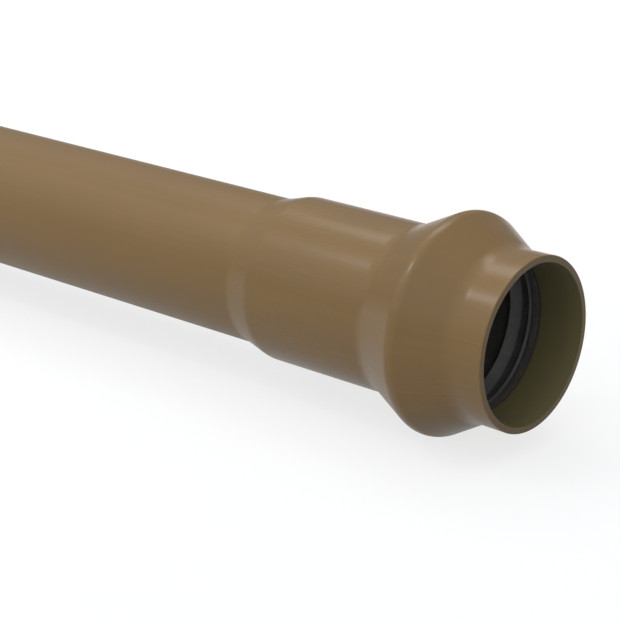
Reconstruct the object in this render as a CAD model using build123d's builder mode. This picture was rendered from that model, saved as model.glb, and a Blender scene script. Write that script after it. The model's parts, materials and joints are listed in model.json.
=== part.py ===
import os
from math import cos, radians, tan

from build123d import *

# One stock length of ring-joint water pipe in rigid brown vinyl, in millimetres.
# The barrel is extruded, and its hot end is pressed over a mandrel into a bell socket
# with a groove that holds a rubber sealing ring.
# The pipe lies along X with the socket's mouth towards +X, its widest ring touching z = 0.

# Extruded barrel
outside_diameter = 60.0
barrel_wall = 3.3
overall_length = 6000.0

# Plain end, bevelled so that it slides past the ring of the next pipe
spigot_bevel_angle = 15.0
spigot_edge = 1.65

# Socket: depths run from the mouth into the pipe, heights run outward from its bore
socket_clearance = 0.25
socket_wall = 3.2
socket_depth = 112.7
shoulder_angle = 15.3
shoulder_bend = 9.0

# Mouth, opened inside by a short lead-in
mouth_flare = 0.75
mouth_flare_depth = 5.0
mouth_outer_height = 3.35
mouth_edge = 0.5
neck_wall = 3.05

# Groove for the ring: two ramps that meet in a rounded crest. Inside, where the wall lies on
# the mandrel, their feet are sharper and the front one is steeper, as the ring's seat
groove_depth = 34.0
groove_height = 10.35
groove_wall = 2.9
front_ramp_angle = 30.4
front_seat_angle = 35.5
rear_ramp_angle = 26.1
crest_bend = 2.6
foot_bend = 12.0
mandrel_edge = 3.0

# Sealing ring, drawn with its lip pressed back as it lies on a spigot
# Depths here run from the groove's crest, heights outward from the spigot
ring_clearance = 0.15
lip_clearance = 0.1
collar_recess = 0.1
nose_thickness = 0.25
collar_depth = -12.0
crease_depth = -11.1
crease_height = 1.3
ridge_depth = -9.8
ridge_height = 0.5
hollow_front_depth = -8.0
hollow_rear_depth = -5.0
hollow_height = 3.2
lip_depth = -1.2
lip_land = 0.4
throat_height = 3.0
tail_height = 2.7
tail_thickness = 0.8

spigot_radius = outside_diameter / 2
barrel_bore = spigot_radius - barrel_wall
socket_bore = spigot_radius + socket_clearance
socket_outer = socket_bore + socket_wall
neck_outer = socket_bore + neck_wall
collar_radius = socket_bore + collar_recess

# Point round which the crest bends, the same for both faces of the wall
crest_centre = socket_bore + groove_height - crest_bend
axis_height = crest_centre + crest_bend + groove_wall

spigot_bevel_length = (barrel_wall - spigot_edge) / tan(radians(spigot_bevel_angle))


def groove_line(outward, front_angle, front_radius, rear_radius):
    """Front foot, corner and rear foot of a line that lies outward of the groove's inner crest."""
    front = radians(front_angle)
    rear = radians(rear_ramp_angle)
    bend = crest_bend + outward
    front_top = crest_centre + bend / cos(front)
    rear_top = crest_centre + bend / cos(rear)
    shift = (front_top - rear_top) / (tan(front) + tan(rear))
    return [
        (groove_depth - (front_top - front_radius) / tan(front), front_radius),
        (groove_depth - shift, front_top - shift * tan(front)),
        (groove_depth + (rear_top - rear_radius) / tan(rear), rear_radius),
    ]


def shoulder_line(outward, socket_radius, barrel_radius):
    """Both corners of the slope from socket to barrel, outward of its inner face."""
    slope = radians(shoulder_angle)
    lift = outward / cos(slope)
    return [
        (socket_depth + (socket_bore + lift - socket_radius) / tan(slope), socket_radius),
        (socket_depth + (socket_bore + lift - barrel_radius) / tan(slope), barrel_radius),
    ]


# Sections are drawn with depth along local X and radius along local Y, on the underside
mouth_centre = Vector(overall_length / 2, 0, axis_height)
section = Plane(origin=mouth_centre, x_dir=(-1, 0, 0), z_dir=(0, -1, 0))
pipe_axis = Axis(mouth_centre, (-1, 0, 0))

# Pipe: one wall from mouth to spigot. The bends of its crest and its shoulder share their
# centres inside and out
with BuildPart() as pipe:
    with BuildSketch(section):
        with BuildLine():
            outside = FilletPolyline(
                (0, socket_bore + mouth_flare),
                (0, socket_bore + mouth_outer_height),
                *groove_line(groove_wall, front_ramp_angle, neck_outer, socket_outer),
                *shoulder_line(socket_wall, socket_outer, spigot_radius),
                (overall_length - spigot_bevel_length, spigot_radius),
                (overall_length, barrel_bore + spigot_edge),
                radius=[
                    mouth_edge,
                    foot_bend,
                    crest_bend + groove_wall,
                    foot_bend,
                    shoulder_bend + socket_wall,
                    shoulder_bend,
                    0,
                ],
            )
            inside = FilletPolyline(
                (0, socket_bore + mouth_flare),
                (mouth_flare_depth, socket_bore),
                *groove_line(0, front_seat_angle, socket_bore, socket_bore),
                *shoulder_line(0, socket_bore, barrel_bore),
                (overall_length, barrel_bore),
                radius=[
                    0,
                    mandrel_edge,
                    crest_bend,
                    mandrel_edge,
                    shoulder_bend,
                    shoulder_bend + socket_wall,
                ],
            )
            Line(outside @ 1, inside @ 1)
        make_face()
    revolve(axis=pipe_axis)
pipe.part.label = "pipe"

# Sealing ring: its collar carries the socket's bore on across the groove's front foot, its tail
# lies under the rear ramp, and its lip points down the socket, so that water pressure closes it
with BuildPart() as sealing_ring:
    with BuildSketch(section):
        with BuildLine():
            nose, crest, tail = groove_line(
                -ring_clearance,
                front_seat_angle,
                collar_radius + nose_thickness,
                spigot_radius + tail_height,
            )
            FilletPolyline(
                nose,
                crest,
                tail,
                (tail[0], spigot_radius + tail_height - tail_thickness),
                (groove_depth + lip_depth, spigot_radius + throat_height),
                (groove_depth + lip_depth, spigot_radius + lip_clearance),
                (groove_depth + lip_depth - lip_land, spigot_radius + lip_clearance),
                (groove_depth + hollow_rear_depth, spigot_radius + hollow_height),
                (groove_depth + hollow_front_depth, spigot_radius + hollow_height),
                (groove_depth + ridge_depth, spigot_radius + ridge_height),
                (groove_depth + crease_depth, spigot_radius + crease_height),
                (groove_depth + collar_depth, collar_radius),
                (nose[0], collar_radius),
                radius=[0, crest_bend - ring_clearance, 0, 0, 0, 0, 0, 0, 0, 0, 0, 0, 0],
                close=True,
            )
        make_face()
    revolve(axis=pipe_axis)
sealing_ring.part.label = "sealing_ring"

os.makedirs("parts", exist_ok=True)
export_step(pipe.part, "parts/pipe.step")
export_step(sealing_ring.part, "parts/sealing_ring.step")
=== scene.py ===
import json
import math

import bpy
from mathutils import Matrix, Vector


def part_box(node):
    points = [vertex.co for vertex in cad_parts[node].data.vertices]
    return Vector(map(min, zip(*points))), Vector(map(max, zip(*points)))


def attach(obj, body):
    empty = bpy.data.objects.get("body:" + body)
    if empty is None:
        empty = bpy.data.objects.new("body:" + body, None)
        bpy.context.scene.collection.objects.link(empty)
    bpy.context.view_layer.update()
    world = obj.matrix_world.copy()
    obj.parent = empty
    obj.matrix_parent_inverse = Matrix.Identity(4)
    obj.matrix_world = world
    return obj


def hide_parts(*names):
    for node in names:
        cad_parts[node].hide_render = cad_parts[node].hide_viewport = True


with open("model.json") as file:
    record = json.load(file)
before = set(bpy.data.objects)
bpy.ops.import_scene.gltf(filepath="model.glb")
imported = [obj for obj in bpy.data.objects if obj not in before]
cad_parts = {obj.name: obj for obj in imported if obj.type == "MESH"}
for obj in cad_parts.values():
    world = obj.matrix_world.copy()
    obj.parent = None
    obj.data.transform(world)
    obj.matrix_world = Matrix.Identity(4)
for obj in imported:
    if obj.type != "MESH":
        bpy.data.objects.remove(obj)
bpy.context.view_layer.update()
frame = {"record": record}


# Pipe: one stock length of brown rigid vinyl, extruded through a round die and sized in a
# cooled sleeve. Its hot end is pressed over a mandrel that forms the bell socket and its ring
# groove in the same wall, and the plain end is bevelled with a cutter after sawing.
mm = 0.001
pipe_low, pipe_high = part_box("pipe")
mouth_x = pipe_high.x
spigot_x = pipe_low.x
axis_z = (pipe_low.z + pipe_high.z) / 2
crest_outer = axis_z - pipe_low.z
radii = {mount["name"]: mount["dims"]["r_mm"] * mm for mount in frame["record"]["mounts"]}
barrel_outer = radii["spigot"]
barrel_bore = radii["waterway"]
socket_bore = radii["socket"]

socket_wall = 3.2 * mm
socket_depth = 112.7 * mm
shoulder_angle = math.radians(15.3)
shoulder_bend = 9 * mm
mouth_flare = 0.75 * mm
mouth_flare_depth = 5 * mm
mouth_flare_bend = 30 * mm
mouth_outer_height = 3.35 * mm
mouth_edge = 0.5 * mm
neck_wall = 3.05 * mm
groove_depth = 34 * mm
groove_wall = 2.9 * mm
front_ramp_angle = math.radians(30.4)
front_seat_angle = math.radians(35.5)
rear_ramp_angle = math.radians(26.1)
crest_bend = 2.6 * mm
foot_bend = 12 * mm
mandrel_edge = 3 * mm
spigot_edge = 1.65 * mm
bevel_angle = math.radians(15)
saw_burr = 0.15 * mm

crest_centre = crest_outer - groove_wall - crest_bend
bevel_length = (barrel_outer - barrel_bore - spigot_edge) / math.tan(bevel_angle)
spigot_depth = mouth_x - spigot_x
bevel_depth = spigot_depth - bevel_length


def groove_line(outward, front_angle, front_radius, rear_radius):
    """Front foot, corner and rear foot of a line that lies outward of the groove's inner crest."""
    bend = crest_bend + outward
    front_top = crest_centre + bend / math.cos(front_angle)
    rear_top = crest_centre + bend / math.cos(rear_ramp_angle)
    shift = (front_top - rear_top) / (math.tan(front_angle) + math.tan(rear_ramp_angle))
    return [
        (groove_depth - (front_top - front_radius) / math.tan(front_angle), front_radius),
        (groove_depth - shift, front_top - shift * math.tan(front_angle)),
        (groove_depth + (rear_top - rear_radius) / math.tan(rear_ramp_angle), rear_radius),
    ]


def shoulder_line(outward, socket_radius, barrel_radius):
    """Both corners of the slope from socket to barrel, outward of its inner face."""
    lift = socket_bore + outward / math.cos(shoulder_angle)
    return [
        (socket_depth + (lift - radius) / math.tan(shoulder_angle), radius)
        for radius in (socket_radius, barrel_radius)
    ]


def rounded(corners, bends, arc_step=math.radians(5), longest_run=250 * mm):
    """Closed outline of a turned part, as (depth, radius) corners rounded by their bends.

    The corners go round with the material on the right. Returns the outline's points, and for
    the run that starts at each point which way it faces out of the material at its two ends.
    """
    places = [Vector(corner) for corner in corners]
    count = len(places)
    arcs = []
    for i, (place, bend) in enumerate(zip(places, bends)):
        going = (place - places[i - 1]).normalized()
        leaving = (places[(i + 1) % count] - place).normalized()
        turn = math.atan2(going.x * leaving.y - going.y * leaving.x, going.dot(leaving))
        facing = Vector((-going.y, going.x))
        arc = []
        if bend:
            reach = bend * math.tan(abs(turn) / 2)
            steps = max(2, math.ceil(abs(turn) / arc_step))
            side = math.copysign(1, turn)
            centre = place - going * reach + facing * bend * side
            for step in range(steps + 1):
                angle = turn * step / steps
                out = Vector((
                    facing.x * math.cos(angle) - facing.y * math.sin(angle),
                    facing.x * math.sin(angle) + facing.y * math.cos(angle),
                ))
                arc.append((centre - out * bend * side, out))
        else:
            arc.append((place, None))
        arcs.append(arc)
    points = []
    facings = []
    for i, arc in enumerate(arcs):
        for (place, out), (_, next_out) in zip(arc, arc[1:]):
            points.append(place)
            facings.append((out, next_out))
        begin = arc[-1][0]
        end = arcs[(i + 1) % count][0][0]
        along = end - begin
        out = Vector((-along.y, along.x)).normalized()
        runs = max(1, math.ceil(along.length / longest_run))
        for run in range(runs):
            points.append(begin + along * run / runs)
            facings.append((out, out))
    return points, facings


def put_in_scene(name, data):
    """A new object with that name and mesh, lamp or camera, in the scene."""
    made = bpy.data.objects.new(name, data)
    bpy.context.scene.collection.objects.link(made)
    return made


def turned(name, corners, bends, segments=256, longest_baked=4 * mm):
    """A mesh turned about the pipe's axis, starting from its underside, smooth where it bends."""
    points, facings = rounded(corners, bends)
    count = len(points)
    around = [math.tau * k / segments for k in range(segments)]
    vertices = [
        (mouth_x - p.x, p.y * math.sin(angle), axis_z - p.y * math.cos(angle))
        for angle in around
        for p in points
    ]
    lengths = [min((points[(i + 1) % count] - p).length, longest_baked) for i, p in enumerate(points)]
    unrolled = [sum(lengths[:i]) / sum(lengths) for i in range(count + 1)]
    faces = []
    normals = []
    places_on_map = []
    for k in range(segments):
        this_row = k * count
        next_row = (k + 1) % segments * count
        for i in range(count):
            j = (i + 1) % count
            faces.append((this_row + i, this_row + j, next_row + j, next_row + i))
            begin, end = facings[i]
            for facing, turn in ((begin, k), (end, k), (end, k + 1), (begin, k + 1)):
                angle = math.tau * turn / segments
                normals.append((-facing.x, facing.y * math.sin(angle), -facing.y * math.cos(angle)))
            places_on_map += [
                (k / segments, unrolled[i]),
                (k / segments, unrolled[i + 1]),
                ((k + 1) / segments, unrolled[i + 1]),
                ((k + 1) / segments, unrolled[i]),
            ]
    mesh = bpy.data.meshes.new(name)
    mesh.from_pydata(vertices, [], faces)
    bake_map = mesh.uv_layers.new(name="OFBake")
    bake_map.data.foreach_set("uv", [value for place in places_on_map for value in place])
    mesh.shade_smooth()
    mesh.normals_split_custom_set(normals)
    mesh.validate(clean_customdata=False)
    return put_in_scene(name, mesh)


pipe_outside = [
    (0, socket_bore + mouth_flare),
    (0, socket_bore + mouth_outer_height),
    *groove_line(groove_wall, front_ramp_angle, socket_bore + neck_wall, socket_bore + socket_wall),
    *shoulder_line(socket_wall, socket_bore + socket_wall, barrel_outer),
    (bevel_depth, barrel_outer),
    (spigot_depth, barrel_bore + spigot_edge),
]
outside_bends = [
    saw_burr,
    mouth_edge,
    foot_bend,
    crest_bend + groove_wall,
    foot_bend,
    shoulder_bend + socket_wall,
    shoulder_bend,
    0,
    saw_burr,
]
pipe_inside = [
    (spigot_depth, barrel_bore),
    *reversed(shoulder_line(0, socket_bore, barrel_bore)),
    *reversed(groove_line(0, front_seat_angle, socket_bore, socket_bore)),
    (mouth_flare_depth, socket_bore),
]
inside_bends = [
    saw_burr,
    shoulder_bend + socket_wall,
    shoulder_bend,
    mandrel_edge,
    crest_bend,
    mandrel_edge,
    mouth_flare_bend,
]
pipe = turned("belled_pipe", pipe_outside + pipe_inside, outside_bends + inside_bends)


class Signal:
    """An output of a shader node, on which arithmetic is written as it is on numbers."""

    def __init__(self, socket):
        self.socket = socket

    def node(self, kind, settings=(), output=0, **values):
        """Adds a node of that type, gives it its settings, then feeds its sockets by name."""
        tree = self.socket.id_data
        made = tree.nodes.new("ShaderNode" + kind)
        for setting, value in dict(settings).items():
            setattr(made, setting, value)
        sockets = {socket.identifier.replace(" ", "_"): socket for socket in made.inputs}
        for name, value in values.items():
            if isinstance(value, Signal):
                tree.links.new(value.socket, sockets[name])
            else:
                sockets[name].default_value = value
        return Signal(made.outputs[output])

    def output(self, name):
        """Another output of the same node."""
        return Signal(self.socket.node.outputs[name])

    def math(self, operation, first, second):
        return self.node("Math", {"operation": operation}, Value=first, Value_001=second)

    def __add__(self, other):
        return self.math("ADD", self, other)

    def __radd__(self, other):
        return self.math("ADD", other, self)

    def __sub__(self, other):
        return self.math("SUBTRACT", self, other)

    def __rsub__(self, other):
        return self.math("SUBTRACT", other, self)

    def __mul__(self, other):
        return self.math("MULTIPLY", self, other)

    def __rmul__(self, other):
        return self.math("MULTIPLY", other, self)

    def __truediv__(self, other):
        return self.math("DIVIDE", self, other)

    def __rtruediv__(self, other):
        return self.math("DIVIDE", other, self)

    def __pow__(self, other):
        return self.math("POWER", self, other)

    def __rpow__(self, other):
        return self.math("POWER", other, self)

    def larger(self, other):
        """Whichever is the larger at each point, this signal or the other."""
        return self.math("MAXIMUM", self, other)

    def step(self, low, high):
        """Rises smoothly from 0 at low to 1 at high."""
        return self.node(
            "MapRange", {"interpolation_type": "SMOOTHSTEP"}, Value=self, From_Min=low, From_Max=high
        )

    def vector(self, along, across, up):
        """A vector of those three numbers or signals."""
        return self.node("CombineXYZ", X=along, Y=across, Z=up)

    def split(self):
        """The parts of this vector along X, Y and Z."""
        along = self.node("SeparateXYZ", Vector=self)
        return along, along.output("Y"), along.output("Z")

    def vector_math(self, operation, second, output="Vector"):
        """Vector arithmetic on this vector and a second one."""
        return self.node("VectorMath", {"operation": operation}, output, Vector=self, Vector_001=second)

    def noise(self, cells, detail=2.0, roughness=0.5):
        """Cloudy noise from 0 to 1, with that many cells to one unit of this vector's X, Y and Z."""
        place = self.vector_math("MULTIPLY", cells)
        return self.node("TexNoise", Vector=place, Scale=1.0, Detail=detail, Roughness=roughness)

    def blend(self, first, second):
        """Colour that goes from the first to the second as this signal goes from 0 to 1."""
        first, second = (
            colour if isinstance(colour, Signal) else (*colour, 1) for colour in (first, second)
        )
        settings = {"data_type": "RGBA", "clamp_factor": True}
        return self.node("Mix", settings, output=2, Factor_Float=self, A_Color=first, B_Color=second)

    def bumped(self):
        """The way a surface faces whose relief is this signal, in millimetres."""
        return self.node("Bump", Strength=1.0, Distance=mm, Height=self)


def new_finish(name):
    """A material with one plastic-like shader, and each point's place from the pipe's axis."""
    material = bpy.data.materials.new(name)
    material.use_nodes = True
    shader = material.node_tree.nodes["Principled BSDF"]
    place = Signal(material.node_tree.nodes.new("ShaderNodeTexCoord").outputs["Object"])
    return material, shader, place.vector_math("SUBTRACT", (0, 0, axis_z))


def feed(node, socket, value):
    """Links a signal to a node's socket, or sets a number or colour that is the same all over."""
    if isinstance(value, Signal):
        node.id_data.links.new(value.socket, node.inputs[socket])
    else:
        node.inputs[socket].default_value = value


brown_pvc, shader, place = new_finish("extruded_brown_pvc")
x, y, z = place.split()
depth = mouth_x - x
reach = (y * y + z * z) ** 0.5
round_y = y / reach
round_z = z / reach
facing_x, facing_y, facing_z = place.node("NewGeometry", output="Normal").split()
outward = facing_y * round_y + facing_z * round_z

# Where one finish fades into the next: by how squarely the surface faces outward from the axis or
# along it, and by the depth from the mouth
bore_facing = (-0.3, 0.1)
sawn_facing = (0.75, 0.85)
bevel_facing = (0.5, 0.6)
bevel_starts = (-0.1 * mm, 0.1 * mm)
bell_ends = (115 * mm, 135 * mm)
in_bore = 1 - outward.step(*bore_facing)
sawn = (facing_x * facing_x).step(*sawn_facing)
bevelled = (depth - bevel_depth).step(*bevel_starts) * outward.step(*bevel_facing)
machined = sawn.larger(bevelled)
belled = 1 - depth.step(*bell_ends)

# Die and sleeve mark the skin before it is belled, so their lines run on unbroken over the bell
drawn = place.vector(x, round_y, round_z)
die_lines = drawn.noise((1.5, 14, 14), detail=3.0, roughness=0.6)
fine_die_lines = drawn.noise((4, 70, 70))
sleeve_rings = drawn.noise((420, 0.6, 0.6), detail=1.0, roughness=0.4)
clouds = place.noise((18, 40, 40), detail=3.0, roughness=0.55)
orange_peel = place.noise((620, 620, 620))
cutter_rings = place.vector(x, reach, 0.0).noise((2600, 5200, 0), detail=1.0)

# Handling leaves fine scratches in patches, and rubs the crest that the pipe rolls and lies on
handled_shift = 4 / 9
scratches = drawn.noise((26, 95, 95), roughness=0.6)
handled = place.vector(x + handled_shift, y, z).noise((9, 30, 30))
scratch_levels = (0.66, 0.74)
scratched_patches = (0.48, 0.62)
rubbed_patches = (0.42, 0.6)
rubbed_height = 0.5 * mm
scuffs = scratches.step(*scratch_levels) * handled.step(*scratched_patches) * (1 - in_bore)
rubbed_crest = reach.step(crest_outer - rubbed_height, crest_outer) * handled.step(*rubbed_patches)

skin_colour = (0.233, 0.131, 0.041)
skin_colour_dull = (0.213, 0.122, 0.041)
# Painted shade: the whole inner surface is given a darker, cooler brown than the outer skin
bore_shade_colour = (0.152, 0.124, 0.055)
cut_colour = (0.128, 0.083, 0.031)
scuff_colour = (0.31, 0.23, 0.15)
cloud_share = 0.55
patch_levels = (0.32, 0.68)
scuff_strength = 0.35
rubbed_strength = 0.25
patches = clouds * cloud_share + die_lines * (1 - cloud_share)
colour = patches.step(*patch_levels).blend(skin_colour_dull, skin_colour)
# The bore takes its painted shade colour here
colour = in_bore.blend(colour, bore_shade_colour)
colour = (scuffs * scuff_strength + rubbed_crest * rubbed_strength).blend(colour, scuff_colour)
colour = machined.blend(colour, cut_colour)
feed(shader, "Base Color", colour)

# Roughness of the barrel's skin, and what each finish takes off it or adds to it
noise_average = 0.5
skin_roughness = 0.36
bell_smoother = 0.1
bore_smoother = 0.05
cloud_roughness = 0.14
line_roughness = 0.1
scuff_roughness = 0.16
cut_roughness = 0.2
roughness = skin_roughness - belled * bell_smoother + (clouds - noise_average) * cloud_roughness
roughness = roughness + (die_lines - noise_average) * line_roughness + scuffs * scuff_roughness
roughness = roughness + machined * cut_roughness - in_bore * bore_smoother
feed(shader, "Roughness", roughness)
feed(shader, "IOR", 1.5)
feed(shader, "Specular IOR Level", 0.33)

# Heights of the relief in millimetres. The mandrel presses out part of the barrel's lines
fine_line_height = 0.012
die_line_height = 0.03
sleeve_ring_height = 0.006
pressed_out = 0.6
peel_height = 0.004
bell_peel_height = 0.003
scuff_depth = 0.01
cutter_ring_height = 0.03
relief = fine_die_lines * fine_line_height + die_lines * die_line_height + sleeve_rings * sleeve_ring_height
relief = relief * (1 - belled * pressed_out) + orange_peel * (peel_height + belled * bell_peel_height)
relief = (relief - scuffs * scuff_depth) * (1 - in_bore) + machined * cutter_rings * cutter_ring_height
feed(shader, "Normal", relief.bumped())

pipe.data.materials.append(brown_pvc)
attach(pipe, "root")
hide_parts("pipe")


# Sealing ring: black rubber moulded in one piece and pressed into the groove by hand. Its
# collar carries the bore on across the groove's front foot, its tail lies under the rear
# ramp, and its lip points down the socket, so that the water's own pressure closes it.
ring_clearance = 0.15 * mm
lip_clearance = 0.1 * mm
collar_recess = 0.1 * mm
nose_thickness = 0.25 * mm
collar_depth = groove_depth - 12.0 * mm
crease_depth = groove_depth - 11.1 * mm
crease_height = 1.3 * mm
ridge_depth = groove_depth - 9.8 * mm
ridge_height = 0.5 * mm
hollow_front_depth = groove_depth - 8.0 * mm
hollow_rear_depth = groove_depth - 5.0 * mm
hollow_height = 3.2 * mm
lip_depth = groove_depth - 1.2 * mm
lip_land = 0.4 * mm
throat_height = 3.0 * mm
tail_height = 2.7 * mm
tail_thickness = 0.8 * mm

nose_edge = 0.1 * mm
moulded_edge = 0.25 * mm
crease_edge = 0.125 * mm
lip_edge = 0.18 * mm
hollow_bend = 0.6 * mm

spigot_radius = barrel_outer
collar_radius = socket_bore + collar_recess
nose, crest, tail = groove_line(
    -ring_clearance, front_seat_angle, collar_radius + nose_thickness, spigot_radius + tail_height
)
ring_section = [
    (nose, nose_edge),
    (crest, crest_bend - ring_clearance),
    (tail, moulded_edge),
    ((tail[0], spigot_radius + tail_height - tail_thickness), moulded_edge),
    ((lip_depth, spigot_radius + throat_height), moulded_edge),
    ((lip_depth, spigot_radius + lip_clearance), lip_edge),
    ((lip_depth - lip_land, spigot_radius + lip_clearance), hollow_bend),
    ((hollow_rear_depth, spigot_radius + hollow_height), hollow_bend),
    ((hollow_front_depth, spigot_radius + hollow_height), hollow_bend),
    ((ridge_depth, spigot_radius + ridge_height), moulded_edge),
    ((crease_depth, spigot_radius + crease_height), crease_edge),
    ((collar_depth, collar_radius), moulded_edge),
    ((nose[0], collar_radius), nose_edge),
]
ring = turned("rubber_ring", [corner for corner, _ in ring_section], [bend for _, bend in ring_section])

rubber_colour = (0.073, 0.067, 0.06)
bloom_colour = (0.109, 0.101, 0.091)
bloom_levels = (0.4, 0.75)
rubber_roughness = 0.46
bloom_roughness = 0.16
mould_grain_height = 0.008

black_rubber, shader, place = new_finish("moulded_black_rubber")
bloom = place.noise((160, 160, 160), detail=4.0, roughness=0.6)
mould_grain = place.noise((2200, 2200, 2200))
feed(shader, "Base Color", bloom.step(*bloom_levels).blend(rubber_colour, bloom_colour))
feed(shader, "Roughness", rubber_roughness + bloom * bloom_roughness)
feed(shader, "IOR", 1.5)
feed(shader, "Normal", (mould_grain * mould_grain_height).bumped())

ring.data.materials.append(black_rubber)
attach(ring, "root")
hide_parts("sealing_ring")


# Floor: a wide pale studio floor that the pipe lies on, as far as any view reaches. It looks
# white where nothing shades it, and throws back a little light onto the pipe's underside.
floor_reach = 400.0
floor_sides = 96
floor_white = (1.0, 0.98, 0.95)
floor_bounce = (0.47, 0.49, 0.53)
shadow_depth = 0.25
mirrored_floor = 0.6
plain_white = (1, 1, 1, 1)

floor_rim = []
for side in range(floor_sides):
    angle = math.tau * side / floor_sides
    floor_rim.append((floor_reach * math.cos(angle), floor_reach * math.sin(angle), 0.0))
floor_mesh = bpy.data.meshes.new("studio_floor")
floor_mesh.from_pydata(floor_rim, [], [tuple(range(floor_sides))])
floor = put_in_scene("studio_floor", floor_mesh)


def seen_share(place, mirrored):
    """1 where the camera sees the surface, itself or through glass, and less in a reflection."""
    camera_ray = place.node("LightPath", output="Is Camera Ray")
    in_reflection = camera_ray.output("Is Glossy Ray") * mirrored
    return camera_ray.larger(in_reflection).larger(camera_ray.output("Is Transmission Ray"))


def show(output, share, lit, plain):
    """Shows the plain shader by that share, and the lit one for the rest."""
    feed(output, "Surface", share.node("MixShader", Fac=share, Shader=lit, Shader_001=plain))


pale_floor, shader, place = new_finish("pale_studio_floor")
seen = seen_share(place, mirrored_floor)
feed(shader, "Base Color", seen.blend(floor_bounce, floor_white))
feed(shader, "Roughness", 1.0)
feed(shader, "Specular IOR Level", 0.0)
lit_floor = Signal(shader.outputs[0])
glow = seen.node("Emission", Color=plain_white, Strength=1.0)
show(pale_floor.node_tree.nodes["Material Output"], seen * (1 - shadow_depth), lit_floor, glow)
floor_mesh.materials.append(pale_floor)


# Studio light: a bright soft ceiling above and on the camera's side, and a faint glow from
# behind the pipe, both weaker towards the horizon. The camera itself sees this sky as white. A
# long and a short soft lamp leave their reflections along the socket and its neck.
ceiling_from = Vector((-0.1, -0.72, 0.66)).normalized()
ceiling_fade = (-0.4, 1.1)
ceiling_level = 1.1
back_from = Vector((0.1, 0.93, 0.35)).normalized()
back_fade = (0.1, 1.0)
back_level = 0.2
fill_level = 0.17
horizon_fade = (0.0, 0.5)
horizon_level = 0.6
sky_colour = (0.94, 1.0, 1.08, 1)
mirrored_sky = 0.1
lamp_height = 1.0

world = bpy.data.worlds.new("studio")
world.use_nodes = True
bpy.context.scene.world = world
direction = Signal(world.node_tree.nodes.new("ShaderNodeTexCoord").outputs["Generated"])
from_ceiling = direction.vector_math("DOT_PRODUCT", ceiling_from, "Value")
from_back = direction.vector_math("DOT_PRODUCT", back_from, "Value")
_, _, height = direction.split()
ceiling = from_ceiling.step(*ceiling_fade) * ceiling_level
level = fill_level + ceiling + from_back.step(*back_fade) * back_level
level = level * (horizon_level + height.step(*horizon_fade) * (1 - horizon_level))
sky = world.node_tree.nodes["Background"]
feed(sky, "Color", sky_colour)
feed(sky, "Strength", level)
seen = seen_share(direction, mirrored_sky)
white_sky = seen.node("Background", Color=plain_white, Strength=1.0)
show(world.node_tree.nodes["World Output"], seen, Signal(sky.outputs[0]), white_sky)

for name, length, width, from_mouth, across, power in (
    ("rear_lamp", 0.85, 0.56, 0.5, 0.43, 3.2),
    ("front_lamp", 0.45, 0.28, 0.64, -0.5, 2.6),
):
    lamp = put_in_scene(name, bpy.data.lights.new(name, "AREA"))
    lamp.data.shape = "ELLIPSE"
    lamp.data.size = length
    lamp.data.size_y = width
    lamp.data.energy = power
    lamp.location = (mouth_x - from_mouth, across, axis_z + lamp_height)
    lamp.rotation_euler = (math.atan2(across, lamp_height), 0, 0)


# Camera: set up as the photo was taken, looking down on the mouth from its near side, so that
# the barrel runs out of the picture at its upper left.
mouth_centre = Vector((mouth_x, 0, axis_z))
camera_from_mouth = Vector((0.38046, -0.56055, 0.25574))
turned_left = math.radians(41.089)
looking_down = math.radians(19.796)
focal_pixels = 1978.7
picture_pixels = 620
sensor_width = 36.0

camera = put_in_scene("camera", bpy.data.cameras.new("camera"))
camera.location = mouth_centre + camera_from_mouth
camera.rotation_euler = (math.pi / 2 - looking_down, 0, turned_left)
camera.data.sensor_width = sensor_width
camera.data.lens = sensor_width * focal_pixels / picture_pixels
camera.data.clip_start = 0.01
camera.data.clip_end = 1000
bpy.context.scene.camera = camera
bpy.context.scene.view_settings.view_transform = "Standard"
